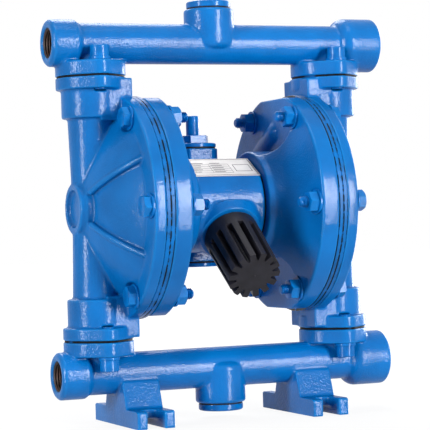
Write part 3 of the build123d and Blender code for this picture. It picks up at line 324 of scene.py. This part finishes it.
def bodyOf(nodeName):
    return nodes[nodeName]["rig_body"]


def smoothShade(mesh, crease):
    form = bmesh.new()
    form.from_mesh(mesh)
    for face in form.faces:
        face.smooth = True
    for edge in form.edges:
        edge.smooth = len(edge.link_faces) == 2 and edge.calc_face_angle(0) < math.radians(crease)
    form.to_mesh(mesh)
    form.free()


def addPiece(name, mesh, finish, body=None, stands=(), crease=40):
    smoothShade(mesh, crease)
    mesh.materials.clear()
    mesh.materials.append(finishes[finish])
    piece = bpy.data.objects.new(name, mesh)
    bpy.context.scene.collection.objects.link(piece)
    if body:
        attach(piece, body)
    if stands:
        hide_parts(*stands)
    return piece


def meshOf(form, name):
    mesh = bpy.data.meshes.new(name)
    form.to_mesh(mesh)
    form.free()
    return mesh


def mergedCopy(nodeName):
    form = bmesh.new()
    form.from_mesh(nodes[nodeName].data)
    bmesh.ops.remove_doubles(form, verts=form.verts, dist=weldGap)
    return form


def joinFlats(form):  # each flat face becomes one, so that only real edges are broken
    bmesh.ops.dissolve_limit(form, angle_limit=math.radians(flatWithin), verts=form.verts, edges=form.edges)


def solidBoxes(nodeName):  # lowest and highest corner of each separate solid in a node
    form = mergedCopy(nodeName)
    waiting = set(form.verts)
    boxes = []
    while waiting:
        front = [waiting.pop()]
        island = []
        while front:
            vert = front.pop()
            island.append(vert.co.copy())
            for edge in vert.link_edges:
                other = edge.other_vert(vert)
                if other in waiting:
                    waiting.remove(other)
                    front.append(other)
        low = Vector([min(point[axis] for point in island) for axis in range(3)])
        high = Vector([max(point[axis] for point in island) for axis in range(3)])
        boxes.append((low, high))
    form.free()
    boxes.sort(key=lambda box: tuple(round(value, 5) for value in box[0]))
    return boxes


def turned(points, steps):  # an outline of (x, radius) in mm, turned round X
    form = bmesh.new()
    verts = [form.verts.new((x * mm, radius * mm, 0)) for x, radius in points]
    edges = [form.edges.new(pair) for pair in zip(verts, verts[1:])]
    bmesh.ops.spin(form, geom=verts + edges, cent=(0, 0, 0), axis=(1, 0, 0), angle=turn, steps=steps,
                   use_merge=True)
    bmesh.ops.remove_doubles(form, verts=form.verts, dist=weldGap)
    bmesh.ops.recalc_face_normals(form, faces=form.faces)
    return form


def addForm(target, form, matrix):  # a copy of one form, placed in another
    mesh = bpy.data.meshes.new("part")
    form.to_mesh(mesh)
    mesh.transform(matrix)
    target.from_mesh(mesh)
    bpy.data.meshes.remove(mesh)


def sharpEdges(form, angle=sharpFrom):
    return [edge for edge in form.edges
            if len(edge.link_faces) == 2 and edge.calc_face_angle(0) > math.radians(angle)]


def bevelEdges(form, edges, width, segments=3, clamp=True):
    bmesh.ops.bevel(form, geom=edges, offset=width * mm, offset_type="OFFSET", segments=segments,
                    profile=0.5, clamp_overlap=clamp, affect="EDGES", material=-1)


def keepFlats(piece):  # flat faces stay flat in the shading beside their rounded edges
    weighted = piece.modifiers.new("flats", "WEIGHTED_NORMAL")
    weighted.keep_sharp = True


def modified(mesh, kind, **settings):  # the mesh that one modifier makes of this one
    holder = bpy.data.objects.new(mesh.name, mesh)
    bpy.context.scene.collection.objects.link(holder)
    modifier = holder.modifiers.new("change", kind)
    for name, value in settings.items():
        setattr(modifier, name, value)
    bpy.context.view_layer.update()
    changed = bpy.data.meshes.new_from_object(holder.evaluated_get(bpy.context.evaluated_depsgraph_get()))
    bpy.data.objects.remove(holder)
    return changed


def setRadius(vert, radius):  # moves a point to this distance from the X axis, in mm
    scale = radius * mm / vert.co.yz.length
    vert.co.y *= scale
    vert.co.z *= scale


def threadRadius(vert, pitch, root, crest):  # a V thread that winds round X
    phase = (vert.co.x / mm / pitch - math.atan2(vert.co.z, vert.co.y) / turn) % 1
    return root + (crest - root) * abs(2 * phase - 1)


# Castings: each is a copy of its solid, remade as a fine skin with the worn corners and the small
# fillets that sand leaves, because no edge of a sand casting is sharp

castSkin = {"grid": 0.75, "rounding": 1, "filletPasses": 8, "filletReach": 1, "hollowFrom": 0.05,
            "mostTriangles": 190000}
castings = ["top_manifold", "bottom_manifold", "left_fluid_chamber", "right_fluid_chamber",
            "left_air_chamber", "right_air_chamber", "centre_body"]


def softenSkin(mesh, look):
    form = bmesh.new()
    form.from_mesh(mesh)
    everywhere = dict(factor=0.5, use_axis_x=True, use_axis_y=True, use_axis_z=True)
    for step in range(look["rounding"]):
        bmesh.ops.smooth_vert(form, verts=form.verts, **everywhere)
    form.normal_update()
    hollow = set()
    for vert in form.verts:
        count = len(vert.link_edges)
        middle = sum((edge.other_vert(vert).co for edge in vert.link_edges), Vector()) / max(count, 1)
        if (middle - vert.co).dot(vert.normal) > look["hollowFrom"] * look["grid"] * mm:
            hollow.add(vert)
    for step in range(look["filletReach"]):
        hollow |= {edge.other_vert(vert) for vert in hollow for edge in vert.link_edges}
    hollow = list(hollow)
    for step in range(look["filletPasses"]):
        bmesh.ops.smooth_vert(form, verts=hollow, **everywhere)
    form.to_mesh(mesh)
    form.free()


for nodeName in castings:
    skin = modified(meshOf(mergedCopy(nodeName), nodeName + "_skin"), "REMESH", mode="VOXEL",
                    voxel_size=castSkin["grid"] * mm)
    softenSkin(skin, castSkin)
    skin.calc_loop_triangles()
    share = castSkin["mostTriangles"] / len(skin.loop_triangles)
    if share < 1:  # fewer, larger triangles where the skin is flat
        skin = modified(skin, "DECIMATE", ratio=share)
    addPiece(nodeName + "_casting", skin, "castEnamel", bodyOf(nodeName), (nodeName,),
             crease=180)
    print("casting", nodeName, len(skin.polygons), "faces")


# Chamber bolts and nuts, M8: hexagons, and a coarse thread on the end that stands out of the nut

chamberBolt = {
    "flats": 13.0, "head": 5.3, "crest": 3.98, "root": 2.85, "pitch": 1.25, "ringsPerTurn": 4,
    "thread": 12.0, "point": 0.4, "threadLap": 0.3, "headLap": 0.2, "threadSteps": 24, "steps": 48,
    "edge": 0.25, "corner": 0.2, "cornerFrom": 40, "ringGap": 0.01, "chamfer": 30.0,
}
dice = random.Random(8)


def threadedEnd(look):  # the bare end lies at x = 0, and the thread runs along +X
    length = look["thread"]
    rings = int(length / look["pitch"] * look["ringsPerTurn"])
    outline = [(length * ring / rings, look["crest"]) for ring in range(rings + 1)]
    form = turned([(0, 0)] + outline + [(length, 0)], look["threadSteps"])
    for vert in form.verts:
        if vert.co.yz.length < nearAxis:
            continue
        radius = threadRadius(vert, look["pitch"], look["root"], look["crest"])
        setRadius(vert, min(radius, look["root"] - look["point"] + vert.co.x / mm))
    return form


def pressHexagon(form, look, slopes, rings):  # a ring with a slope also leans to its end face
    inner = look["flats"] / 2
    for vert in form.verts:
        for x in rings:
            if abs(vert.co.x - x * mm) > look["ringGap"] / 10 * mm or vert.co.yz.length < nearAxis:
                continue
            angle = (math.atan2(vert.co.z, vert.co.y) + turn / 12) % (turn / 6) - turn / 12
            reach = inner / math.cos(angle)
            setRadius(vert, reach)
            vert.co.x += slopes.get(x, 0) * (reach - inner) * math.tan(math.radians(look["chamfer"])) * mm


def hexagonHead(look, height, bothEnds=False):  # from x = 0 up to the chamfered face
    inner = look["flats"] / 2
    low, high = look["ringGap"], height - look["ringGap"]
    outline = [(0, 0), (0, inner - look["corner"]), (low, inner), (high, inner),
               (height, inner - look["corner"]), (height, 0)]
    form = turned(outline, look["steps"])
    pressHexagon(form, look, {low: 1.0, high: -1.0} if bothEnds else {high: -1.0}, (low, high))
    corners = [edge for edge in sharpEdges(form, look["cornerFrom"])
               if abs(edge.verts[0].co.x - edge.verts[1].co.x) > mm]
    bevelEdges(form, corners, look["edge"], 2, False)
    return form


def alongX(box, towards):  # the frame of a fastener whose tip looks the way of towards
    low, high = box
    middle = (low + high) / 2
    tip = low.x if towards < 0 else high.x
    facing = Matrix.Identity(4) if towards < 0 else Matrix.Rotation(math.pi, 4, "Z")
    spin = Matrix.Rotation(dice.random() * turn, 4, "X")
    return Matrix.Translation((tip, middle.y, middle.z)) @ facing @ spin


def addBolt(form, box, place, look):
    neck = (box[1].x - box[0].x) / mm - look["head"]
    start, stop = look["thread"] - look["threadLap"], neck + look["headLap"]
    outline = [(start, 0), (start, look["crest"]), (stop, look["crest"]), (stop, 0)]
    addForm(form, threadedEnd(look), place)
    addForm(form, turned(outline, look["threadSteps"]), place)
    addForm(form, hexagonHead(look, look["head"]), place @ Matrix.Translation((neck * mm, 0, 0)))


def addNut(form, box, place, look):
    addForm(form, hexagonHead(look, (box[1].x - box[0].x) / mm, True), place)


for side, towards in (("left", 1), ("right", -1)):
    for kind, addOne in (("bolts", addBolt), ("nuts", addNut)):
        nodeName = f"{side}_chamber_{kind}"
        form = bmesh.new()
        for box in solidBoxes(nodeName):
            addOne(form, box, alongX(box, towards), chamberBolt)
        addPiece(nodeName + "_m8", meshOf(form, nodeName), "steelEnamel", bodyOf(nodeName),
                 (nodeName,))
print("chamber bolts and nuts made")


# Pipe threads in the open mouths: 14 threads to the inch, cut into raw iron

pipeThread = {"major": 10.44, "minor": 9.35, "pitch": 1.814, "ringsPerTurn": 4, "length": 15.5,
              "wall": 0.3, "lead": 0.8, "sunk": 0.2, "steps": 64}


def pipeMouth(look):
    length, wall = look["length"], look["major"] + look["wall"]
    rings = int(length / look["pitch"] * look["ringsPerTurn"])
    inner = [(length * ring / rings, look["minor"]) for ring in range(rings + 1)]
    form = turned(inner + [(length, wall), (0, wall), (0, look["minor"])], look["steps"])
    for vert in form.verts:
        if vert.co.yz.length > look["major"] * mm:
            continue
        radius = threadRadius(vert, look["pitch"], look["minor"], look["major"])
        setRadius(vert, max(radius, look["major"] - vert.co.x / mm * look["lead"]))
    return form


for port, nodeName in (("inlet", "bottom_manifold"), ("outlet", "top_manifold")):
    mount = next(m for m in frame["record"]["mounts"] if m["name"] == port + "_port")
    form = pipeMouth(pipeThread)
    sunk = Vector((pipeThread["sunk"] * mm, 0, 0))
    bmesh.ops.translate(form, verts=form.verts, vec=Vector(mount["pos_m"]) + sunk)
    addPiece(port + "_thread", meshOf(form, port + "_thread"), "rawThread", bodyOf(nodeName))
print("mouth threads cut")


# Plugs, caps, screws and washers: copies of their solids with the broken edges that the lathe leaves

brokenEdges = {  # width of the broken edge in mm
    "top_centre_plug": 0.5, "bottom_centre_plug": 0.5, "top_end_plug": 0.4, "bottom_end_plug": 0.4,
    "valve_top_cap": 0.3, "valve_bottom_cap": 0.3, "shift_stem": 0.3, "top_manifold_screws": 0.35,
    "bottom_manifold_screws": 0.35, "top_screw_washers": 0.25, "bottom_screw_washers": 0.25,
    "left_bolt_washers": 0.25, "right_bolt_washers": 0.25, "hub_screws": 0.25,
}
for nodeName, width in brokenEdges.items():
    form = mergedCopy(nodeName)
    joinFlats(form)
    bevelEdges(form, sharpEdges(form), width)
    keepFlats(addPiece(nodeName + "_edged", meshOf(form, nodeName), slotFinish[slotOf[nodeName]],
                       bodyOf(nodeName), (nodeName,)))
print("broken edges made:", len(brokenEdges))


# Diaphragms: the rim stays clamped in the housing and the middle goes with the shaft, so each rubber
# layer is cut into wedges, and each wedge is cut across at steps along its own radius

flexing = {"wedges": 12, "clampRadius": 61.0, "cuts": 5, "edge": 0.5, "onPlane": 0.0005}


def cutPlane(form, point, normal, look, clear=False):
    everything = form.verts[:] + form.edges[:] + form.faces[:]
    cut = bmesh.ops.bisect_plane(form, geom=everything, dist=look["onPlane"] * mm, plane_co=point,
                                 plane_no=normal, clear_outer=clear)["geom_cut"]
    if clear:
        rims = [item for item in cut if isinstance(item, bmesh.types.BMEdge)]
        bmesh.ops.holes_fill(form, edges=rims, sides=0)


def placeDiaphragm(nodeName, plateNode, look):
    low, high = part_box(plateNode)
    gripRadius = (high.y - low.y) / 2
    middle = Vector((0, 0, bodyHeight))
    half = turn / look["wedges"] / 2
    clampReach = look["clampRadius"] * mm * math.cos(half)
    whole = mergedCopy(nodeName)
    joinFlats(whole)
    bevelEdges(whole, sharpEdges(whole), look["edge"])
    for number in range(look["wedges"]):
        form = whole.copy()
        angle = turn * number / look["wedges"]
        for side in (-1, 1):
            edge = angle + side * half
            cutPlane(form, middle, Vector((0, -math.sin(edge), math.cos(edge))) * side, look, True)
        outwards = Vector((0, math.cos(angle), math.sin(angle)))
        for cut in range(look["cuts"] + 1):
            reach = gripRadius + (clampReach - gripRadius) * cut / look["cuts"]
            cutPlane(form, middle + outwards * reach, outwards, look)
        piece = addPiece(f"{nodeName}_wedge_{number + 1}", meshOf(form, nodeName), "rubberEnamel",
                         None, (nodeName,))
        keepFlats(piece)
        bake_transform(piece)
    whole.free()


for side in ("left", "right"):
    for layer in ("diaphragm", "backup_diaphragm"):
        placeDiaphragm(f"{side}_{layer}", side + "_outer_plate", flexing)
print("diaphragms cut into wedges")


# Exhaust muffler: one moulding of glass-filled nylon, with a plain collar and V slots between its ribs

muffler = {
    "tilt": 36.7, "ribs": 14, "ribTip": 4.5, "slotFloor": 1.3, "slotDepth": 5.6, "collar": 11.0,
    "collarRadius": 19.5, "endRadius": 18.7, "baseEdge": 0.9, "slotSlope": 0.7, "edge": 0.35,
    "edgeFrom": 30, "gateRadius": 1.0, "gateSteps": 16, "stubRadius": 6.4, "stubSteps": 32,
    "turnedBy": 4.0, "skirt": 15.0,
}


def mufflerMoulding(look, length, stubLength):  # its base at z = 0, its ribbed end at z = length
    tip = look["ribTip"] / look["collarRadius"] / 2
    floorHalf = look["slotFloor"] / (look["collarRadius"] - look["slotDepth"]) / 2
    pitch = turn / look["ribs"]
    onRib = (-tip, 0, tip)
    start = tip + 0.01  # the ring's points are counted from just before the first rib
    offsets = onRib + (pitch / 2 - floorHalf, pitch / 2, pitch / 2 + floorHalf)
    form = bmesh.new()
    ring = bmesh.ops.create_circle(form, segments=look["ribs"] * len(offsets), radius=mm)["verts"]
    edges = form.edges[:]
    bmesh.ops.contextual_create(form, geom=edges)
    stations = [(0, look["collarRadius"] - look["baseEdge"], 0), (look["baseEdge"], look["collarRadius"], 0),
                (look["collar"], look["collarRadius"], 0),
                (look["collar"] + look["slotSlope"], look["collarRadius"], look["slotDepth"]),
                (length, look["endRadius"], look["slotDepth"])]
    for station, (z, radius, depth) in enumerate(stations):
        if station:
            grown = bmesh.ops.extrude_edge_only(form, edges=edges)["geom"]
            ring = [item for item in grown if isinstance(item, bmesh.types.BMVert)]
            edges = [item for item in grown if isinstance(item, bmesh.types.BMEdge)
                     and item.verts[0] in ring and item.verts[1] in ring]
        ring.sort(key=lambda vert: (math.atan2(vert.co.y, vert.co.x) + start) % turn)
        for place, vert in enumerate(ring):
            rib, part = divmod(place, len(offsets))
            angle = rib * pitch + offsets[part]
            reach = radius - (depth if part >= len(onRib) else 0)
            vert.co = Vector((math.cos(angle) * reach, math.sin(angle) * reach, z)) * mm
    bmesh.ops.contextual_create(form, geom=edges)
    bmesh.ops.recalc_face_normals(form, faces=form.faces)
    ribEdges = [edge for edge in sharpEdges(form, look["edgeFrom"]) if edge.is_convex]
    bevelEdges(form, ribEdges, look["edge"], 2)
    bmesh.ops.create_uvsphere(form, u_segments=look["gateSteps"], v_segments=look["gateSteps"] // 2,
                              radius=look["gateRadius"] * mm,
                              matrix=Matrix.Translation((0, 0, (length - look["gateRadius"] / 2) * mm)))
    bmesh.ops.create_cone(form, cap_ends=True, segments=look["stubSteps"], radius1=look["stubRadius"] * mm,
                          radius2=look["stubRadius"] * mm, depth=stubLength * mm,
                          matrix=Matrix.Translation((0, 0, -stubLength * mm / 2)))
    bmesh.ops.rotate(form, verts=form.verts, matrix=Matrix.Rotation(math.radians(look["turnedBy"]), 3, "Z"))
    return form


def placeMuffler(look):
    tilt = math.radians(look["tilt"])
    axis = Vector((0, -math.cos(tilt), -math.sin(tilt)))
    middle = Vector((0, 0, bodyHeight))
    reaches = [((vert.co - middle).dot(axis), (vert.co - middle).cross(axis).length)
               for vert in nodes["muffler_housing"].data.vertices]
    end = max(along for along, radius in reaches)
    inner = min(along for along, radius in reaches)
    base = min(along for along, radius in reaches if radius > look["skirt"] * mm)
    form = mufflerMoulding(look, (end - base) / mm, (base - inner) / mm)
    place = Matrix.Translation(middle + axis * base) @ Matrix.Rotation(math.pi / 2 + tilt, 4, "X")
    bmesh.ops.transform(form, matrix=place, verts=form.verts)
    keepFlats(addPiece("muffler_moulding", meshOf(form, "muffler_moulding"), "mouldedNylon",
                       bodyOf("muffler_housing"), ("muffler_housing",)))


placeMuffler(muffler)
print("muffler moulded")


# Plate: thin aluminium with broken corners, and a plain printed form on it with no words

plate = {
    "edge": 0.2, "margin": 1.0, "line": 0.5, "thinLine": 0.25, "ink": 0.05, "rows": 5, "rowGap": 3.2,
    "lowRow": -8.4, "columns": (-9.0, 6.0), "stroke": 0.7, "rise": 1.2, "indent": 1.4, "gap": 1.0,
    "fill": (0.35, 0.85), "panel": (9.0, 21.5, -6.5, 3.5), "facing": 0.3, "onFace": 0.01,
}


def plateForm(look):
    form = mergedCopy("label_plate")
    upwards = [face for face in form.faces if face.normal.z > look["facing"]]
    face = max(upwards, key=lambda face: face.calc_area())
    normal = face.normal.copy()
    corner = face.verts[0].co
    top = [vert.co for vert in form.verts if (vert.co - corner).dot(normal) > -look["onFace"] * mm]
    middle = sum(top, Vector()) / len(top)
    across = Vector((1, 0, 0))
    along = normal.cross(across)
    halfWide = max((point - middle).dot(across) for point in top) / mm
    halfTall = max((point - middle).dot(along) for point in top) / mm
    basis = Matrix((across, along, normal)).transposed().to_4x4()
    basis.translation = middle
    joinFlats(form)
    bevelEdges(form, sharpEdges(form), look["edge"], 2)
    return form, basis, halfWide, halfTall


def addBar(form, look, left, right, low, high, basis):
    size = Matrix.Diagonal(((right - left) * mm, (high - low) * mm, 2 * look["ink"] * mm, 1))
    middle = Matrix.Translation(((left + right) / 2 * mm, (low + high) / 2 * mm, 0))
    bmesh.ops.create_cube(form, size=1, matrix=basis @ middle @ size)


def addFrameOf(form, look, left, right, low, high, basis):
    line = look["line"]
    addBar(form, look, left, right, low, low + line, basis)
    addBar(form, look, left, right, high - line, high, basis)
    addBar(form, look, left, left + line, low + line, high - line, basis)
    addBar(form, look, right - line, right, low + line, high - line, basis)


def addRows(form, look, edge, basis):  # ruled rows, with a bar of its own length in each cell
    stops = (edge,) + look["columns"]
    least, most = look["fill"]
    for row in range(look["rows"]):
        v = look["lowRow"] + row * look["rowGap"]
        addBar(form, look, edge + look["gap"], stops[-1], v, v + look["thinLine"], basis)
        for start, stop in zip(stops, stops[1:]):
            begin = start + look["indent"]
            length = (stop - begin - look["gap"]) * (least + dice.random() * (most - least))
            low = v + look["rise"]
            addBar(form, look, begin, begin + length, low, low + look["stroke"], basis)
    top = look["lowRow"] + (look["rows"] - 1) * look["rowGap"]
    for u in look["columns"]:
        addBar(form, look, u, u + look["thinLine"], look["lowRow"], top, basis)


def placePlate(look):
    form, basis, halfWide, halfTall = plateForm(look)
    body = bodyOf("label_plate")
    keepFlats(addPiece("plate_blank", meshOf(form, "plate_blank"), "brushedAluminium", body,
                       ("label_plate",)))
    wide, tall = halfWide - look["margin"], halfTall - look["margin"]
    ink = bmesh.new()
    addFrameOf(ink, look, -wide, wide, -tall, tall, basis)
    addFrameOf(ink, look, *look["panel"], basis)
    addRows(ink, look, -wide, basis)
    addPiece("plate_print", meshOf(ink, "plate_print"), "plateInk", body)


placePlate(plate)
print("plate printed")


# Stage, lamps and camera

def brightTo(tree, dim, bright):  # one value for the light that falls, another for what is seen
    seen = 0.0
    for ray in ("Is Camera Ray", "Is Glossy Ray", "Is Transmission Ray"):
        light = addNode(tree, "LightPath", output=ray)
        seen = addNode(tree, "Math", {0: seen, 1: light}, operation="MAXIMUM")
    return addNode(tree, "MapRange", {"Value": seen, "To Min": dim, "To Max": bright})


stageLook = {"grey": "#C8C8C8", "glow": 0.82, "farGlow": 1.0, "glowStrength": 1.1, "size": 6.0,
             "nearReach": 250.0, "farReach": 700.0}  # the shadow shows in the grey share, near the pump
worldLook = {"fill": 0.14, "seen": 1.0}
white = (1, 1, 1, 1)


def makeStage(look):
    floorMaterial, tree, place = blankMaterial("paleFloor")
    matt = addNode(tree, "BsdfDiffuse", {"Color": linear(look["grey"])})
    glow = addNode(tree, "Emission", {"Color": white, "Strength": look["glowStrength"]})
    away = addNode(tree, "VectorMath", {0: place}, "Value", operation="LENGTH")
    share = addNode(tree, "MapRange", {
        "Value": away, "From Min": look["nearReach"] * mm, "From Max": look["farReach"] * mm,
        "To Min": look["glow"], "To Max": look["farGlow"]})
    share = addNode(tree, "Math", {0: share, 1: brightTo(tree, 0.0, 1.0)}, operation="MULTIPLY")
    addNode(tree, "OutputMaterial", {"Surface": addNode(tree, "MixShader", {0: share, 1: matt, 2: glow})})
    form = bmesh.new()
    bmesh.ops.create_grid(form, x_segments=1, y_segments=1, size=look["size"])
    mesh = meshOf(form, "floor")
    mesh.materials.append(floorMaterial)
    floor = bpy.data.objects.new("floor", mesh)
    floor.visible_glossy = False  # the paint mirrors the white room and the strips' lower ends instead
    bpy.context.scene.collection.objects.link(floor)


def makeWorld(look):
    world = bpy.data.worlds.new("studio")
    bpy.context.scene.world = world
    world.use_nodes = True
    tree = world.node_tree
    tree.nodes.clear()
    strength = brightTo(tree, look["fill"], look["seen"])
    background = addNode(tree, "Background", {"Color": white, "Strength": strength})
    addNode(tree, "OutputWorld", {"Surface": background})


makeStage(stageLook)
makeWorld(worldLook)

aim = Vector((0, 0, 0.15))
lamps = {  # azimuth in degrees from the front, then metres and watts
    "rightStrip": {"azimuth": 23, "height": 0.17, "distance": 3.0, "wide": 0.6, "tall": 2.3, "watts": 172},
    "leftStrip": {"azimuth": -73, "height": 0.17, "distance": 3.0, "wide": 0.5, "tall": 2.3, "watts": 120},
    "overhead": {"azimuth": 0, "height": 1.7, "distance": 0.4, "wide": 0.7, "tall": 0.7, "watts": 6},
    "backHigh": {"azimuth": 172, "height": 2.3, "distance": 2.0, "wide": 1.6, "tall": 1.6, "watts": 60},
    "backRight": {"azimuth": 122, "height": 0.5, "distance": 3.0, "wide": 0.7, "tall": 1.8, "watts": 70},
}
for name, look in lamps.items():
    lamp = bpy.data.lights.new(name, "AREA")
    lamp.shape = "RECTANGLE"
    lamp.size = look["wide"]
    lamp.size_y = look["tall"]
    lamp.energy = look["watts"]
    holder = bpy.data.objects.new(name, lamp)
    bpy.context.scene.collection.objects.link(holder)
    swing = math.radians(look["azimuth"])
    spot = Vector((math.sin(swing) * look["distance"], -math.cos(swing) * look["distance"], look["height"]))
    holder.location = spot
    holder.rotation_euler = (aim - spot).to_track_quat("-Z", "Y").to_euler()

cameraLook = {  # worked out from the object's real sizes and where they fall in a 430 by 430 picture
    "place": (-509.2, -1207.64, 136.58), "yaw": 22.5, "pitch": 0.55, "roll": -1.82, "focalPixels": 1835.2,
    "centre": (202.93, 208.38), "picture": 430, "sensor": 36, "farthest": 100,
}


def makeCamera(look):
    yaw, pitch, roll = (math.radians(look[name]) for name in ("yaw", "pitch", "roll"))
    ahead = Vector((math.sin(yaw) * math.cos(pitch), math.cos(yaw) * math.cos(pitch), math.sin(pitch)))
    right = Vector((math.cos(yaw), -math.sin(yaw), 0))
    up = right.cross(ahead)
    rolledRight = right * math.cos(roll) + up * math.sin(roll)
    rolledUp = up * math.cos(roll) - right * math.sin(roll)
    data = bpy.data.cameras.new("camera")
    data.sensor_width = look["sensor"]
    data.lens = look["focalPixels"] / look["picture"] * data.sensor_width
    data.shift_x = (look["picture"] / 2 - look["centre"][0]) / look["picture"]
    data.shift_y = (look["centre"][1] - look["picture"] / 2) / look["picture"]
    data.clip_end = look["farthest"]
    camera = bpy.data.objects.new("camera", data)
    bpy.context.scene.collection.objects.link(camera)
    turnMatrix = Matrix((rolledRight, rolledUp, -ahead)).transposed().to_4x4()
    camera.matrix_world = Matrix.Translation(Vector(look["place"]) * mm) @ turnMatrix
    bpy.context.scene.camera = camera


makeCamera(cameraLook)
bpy.context.scene.view_settings.view_transform = "Standard"
print("stage, lamps and camera set")
